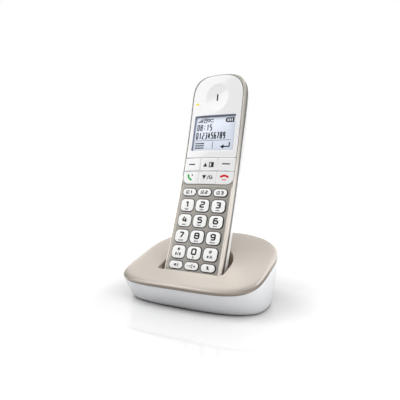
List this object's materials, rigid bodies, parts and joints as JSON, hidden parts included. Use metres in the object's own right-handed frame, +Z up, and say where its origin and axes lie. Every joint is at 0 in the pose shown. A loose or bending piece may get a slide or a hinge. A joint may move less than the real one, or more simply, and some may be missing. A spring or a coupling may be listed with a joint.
{
  "type": "cordless telephone with charging base",
  "caption": "Cordless telephone: slim curved handset with keypad, display and earpiece, standing in a rounded desk charging base with two contact pins.",
  "frame": {"origin": "on the table top, at the middle of the base's bounding box", "axes": "+Z up from the table; -Y is the side of the keys and the display; X across the base, positive to the right of someone facing the keys"},
  "size_m": [0.1224, 0.1039, 0.1948],
  "materials": {
    "frame_lacquer": "champagne metallic lacquer, satin",
    "plate_lacquer": "taupe metallic lacquer, satin",
    "cover_lacquer": "champagne metallic lacquer, satin",
    "white_gloss": "polished white",
    "white_satin": "fine grained white",
    "key_white": "smooth white, half gloss",
    "window": "clear, hard coated",
    "display": "matt polariser film on glass",
    "light_guide": "diffusing white",
    "dark_plastic": "fine grained black",
    "amber": "translucent amber",
    "mat_rubber": "silicone, matt",
    "board": "solder resist, satin",
    "tin": "tin plated",
    "cell_sleeve": "printed sleeve without print",
    "contact": "nickel plated",
    "gilt": "gold plated",
    "screw_steel": "zinc plated",
    "well_brown": "moulded brown grey, matt",
    "foot_rubber": "matt"
  },
  "bodies": {
    "base": {"base_cover": "cover_lacquer", "cradle_well": "well_brown", "base_body": "white_gloss", "base_board": "board", "power_socket": "dark_plastic", "line_socket": "dark_plastic", "base_feet": "foot_rubber", "base_screws": "screw_steel"},
    "handset": {"handset_front_frame": "frame_lacquer", "keypad_plate": "plate_lacquer", "front_panel": "white_gloss", "display_window": "window", "display_module": "display", "display_backlight": "light_guide", "earpiece_receiver": "dark_plastic", "status_light": "amber", "keymat": "mat_rubber", "keypad_board": "board", "main_board": "board", "shield_can": "tin", "microphone": "tin", "ringer_speaker": "dark_plastic", "battery_bay": "white_satin", "battery_left": "cell_sleeve", "battery_right": "cell_sleeve", "battery_contacts": "contact", "handset_back_shell": "white_gloss", "handset_charge_pads": "gilt", "handset_screws": "screw_steel"},
    "battery_door": {"battery_door": "white_gloss"},
    "charge_pin_left": {"charge_pin_left": "gilt"},
    "charge_pin_right": {"charge_pin_right": "gilt"},
    "soft_key_left": {"soft_key_left": "key_white"},
    "up_key": {"up_key": "key_white"},
    "soft_key_right": {"soft_key_right": "key_white"},
    "talk_key": {"talk_key": "key_white"},
    "down_key": {"down_key": "key_white"},
    "end_key": {"end_key": "key_white"},
    "memory_key_1": {"memory_key_1": "key_white"},
    "memory_key_2": {"memory_key_2": "key_white"},
    "memory_key_3": {"memory_key_3": "key_white"},
    "digit_key_1": {"digit_key_1": "key_white"},
    "digit_key_2": {"digit_key_2": "key_white"},
    "digit_key_3": {"digit_key_3": "key_white"},
    "digit_key_4": {"digit_key_4": "key_white"},
    "digit_key_5": {"digit_key_5": "key_white"},
    "digit_key_6": {"digit_key_6": "key_white"},
    "digit_key_7": {"digit_key_7": "key_white"},
    "digit_key_8": {"digit_key_8": "key_white"},
    "digit_key_9": {"digit_key_9": "key_white"},
    "star_key": {"star_key": "key_white"},
    "digit_key_0": {"digit_key_0": "key_white"},
    "hash_key": {"hash_key": "key_white"},
    "speaker_key": {"speaker_key": "key_white"},
    "volume_key": {"volume_key": "key_white"},
    "mute_key": {"mute_key": "key_white"}
  },
  "joints": [
    {"name": "handset_lift", "type": "slide", "parent": "base", "child": "handset", "axis": [0, 0.4477, 0.8942], "range_m": [0, 0.06]},
    {"name": "battery_door_lift", "type": "slide", "parent": "handset", "child": "battery_door", "axis": [0, 0.9378, -0.347], "range_m": [0, 0.012]},
    {"name": "charge_pin_left_press", "type": "slide", "parent": "base", "child": "charge_pin_left", "axis": [0, -0.4477, -0.8942], "range_m": [0, 0.001], "stiffness_N_per_m": 600},
    {"name": "charge_pin_right_press", "type": "slide", "parent": "base", "child": "charge_pin_right", "axis": [0, -0.4477, -0.8942], "range_m": [0, 0.001], "stiffness_N_per_m": 600},
    {"name": "soft_key_left_press", "type": "slide", "parent": "handset", "child": "soft_key_left", "axis": [0, 0.9468, -0.3219], "range_m": [0, 0.0007], "stiffness_N_per_m": 1500},
    {"name": "up_key_press", "type": "slide", "parent": "handset", "child": "up_key", "axis": [0, 0.9468, -0.3219], "range_m": [0, 0.0007], "stiffness_N_per_m": 1500},
    {"name": "soft_key_right_press", "type": "slide", "parent": "handset", "child": "soft_key_right", "axis": [0, 0.9468, -0.3219], "range_m": [0, 0.0007], "stiffness_N_per_m": 1500},
    {"name": "talk_key_press", "type": "slide", "parent": "handset", "child": "talk_key", "axis": [0, 0.9468, -0.3219], "range_m": [0, 0.0007], "stiffness_N_per_m": 1500},
    {"name": "down_key_press", "type": "slide", "parent": "handset", "child": "down_key", "axis": [0, 0.9468, -0.3219], "range_m": [0, 0.0007], "stiffness_N_per_m": 1500},
    {"name": "end_key_press", "type": "slide", "parent": "handset", "child": "end_key", "axis": [0, 0.9468, -0.3219], "range_m": [0, 0.0007], "stiffness_N_per_m": 1500},
    {"name": "memory_key_1_press", "type": "slide", "parent": "handset", "child": "memory_key_1", "axis": [0, 0.9377, -0.3474], "range_m": [0, 0.0007], "stiffness_N_per_m": 1500},
    {"name": "memory_key_2_press", "type": "slide", "parent": "handset", "child": "memory_key_2", "axis": [0, 0.9377, -0.3474], "range_m": [0, 0.0007], "stiffness_N_per_m": 1500},
    {"name": "memory_key_3_press", "type": "slide", "parent": "handset", "child": "memory_key_3", "axis": [0, 0.9377, -0.3474], "range_m": [0, 0.0007], "stiffness_N_per_m": 1500},
    {"name": "digit_key_1_press", "type": "slide", "parent": "handset", "child": "digit_key_1", "axis": [0, 0.9319, -0.3626], "range_m": [0, 0.0007], "stiffness_N_per_m": 1500},
    {"name": "digit_key_2_press", "type": "slide", "parent": "handset", "child": "digit_key_2", "axis": [0, 0.9319, -0.3626], "range_m": [0, 0.0007], "stiffness_N_per_m": 1500},
    {"name": "digit_key_3_press", "type": "slide", "parent": "handset", "child": "digit_key_3", "axis": [0, 0.9319, -0.3626], "range_m": [0, 0.0007], "stiffness_N_per_m": 1500},
    {"name": "digit_key_4_press", "type": "slide", "parent": "handset", "child": "digit_key_4", "axis": [0, 0.9249, -0.3802], "range_m": [0, 0.0007], "stiffness_N_per_m": 1500},
    {"name": "digit_key_5_press", "type": "slide", "parent": "handset", "child": "digit_key_5", "axis": [0, 0.9249, -0.3802], "range_m": [0, 0.0007], "stiffness_N_per_m": 1500},
    {"name": "digit_key_6_press", "type": "slide", "parent": "handset", "child": "digit_key_6", "axis": [0, 0.9249, -0.3802], "range_m": [0, 0.0007], "stiffness_N_per_m": 1500},
    {"name": "digit_key_7_press", "type": "slide", "parent": "handset", "child": "digit_key_7", "axis": [0, 0.9175, -0.3977], "range_m": [0, 0.0007], "stiffness_N_per_m": 1500},
    {"name": "digit_key_8_press", "type": "slide", "parent": "handset", "child": "digit_key_8", "axis": [0, 0.9175, -0.3977], "range_m": [0, 0.0007], "stiffness_N_per_m": 1500},
    {"name": "digit_key_9_press", "type": "slide", "parent": "handset", "child": "digit_key_9", "axis": [0, 0.9175, -0.3977], "range_m": [0, 0.0007], "stiffness_N_per_m": 1500},
    {"name": "star_key_press", "type": "slide", "parent": "handset", "child": "star_key", "axis": [0, 0.9098, -0.415], "range_m": [0, 0.0007], "stiffness_N_per_m": 1500},
    {"name": "digit_key_0_press", "type": "slide", "parent": "handset", "child": "digit_key_0", "axis": [0, 0.9098, -0.415], "range_m": [0, 0.0007], "stiffness_N_per_m": 1500},
    {"name": "hash_key_press", "type": "slide", "parent": "handset", "child": "hash_key", "axis": [0, 0.9098, -0.415], "range_m": [0, 0.0007], "stiffness_N_per_m": 1500},
    {"name": "speaker_key_press", "type": "slide", "parent": "handset", "child": "speaker_key", "axis": [0, 0.9033, -0.4289], "range_m": [0, 0.0007], "stiffness_N_per_m": 1500},
    {"name": "volume_key_press", "type": "slide", "parent": "handset", "child": "volume_key", "axis": [0, 0.9033, -0.4289], "range_m": [0, 0.0007], "stiffness_N_per_m": 1500},
    {"name": "mute_key_press", "type": "slide", "parent": "handset", "child": "mute_key", "axis": [0, 0.9033, -0.4289], "range_m": [0, 0.0007], "stiffness_N_per_m": 1500}
  ],
  "couplings": [
    {"joint": "charge_pin_right_press", "follows": "charge_pin_left_press", "ratio": 1}
  ]
}
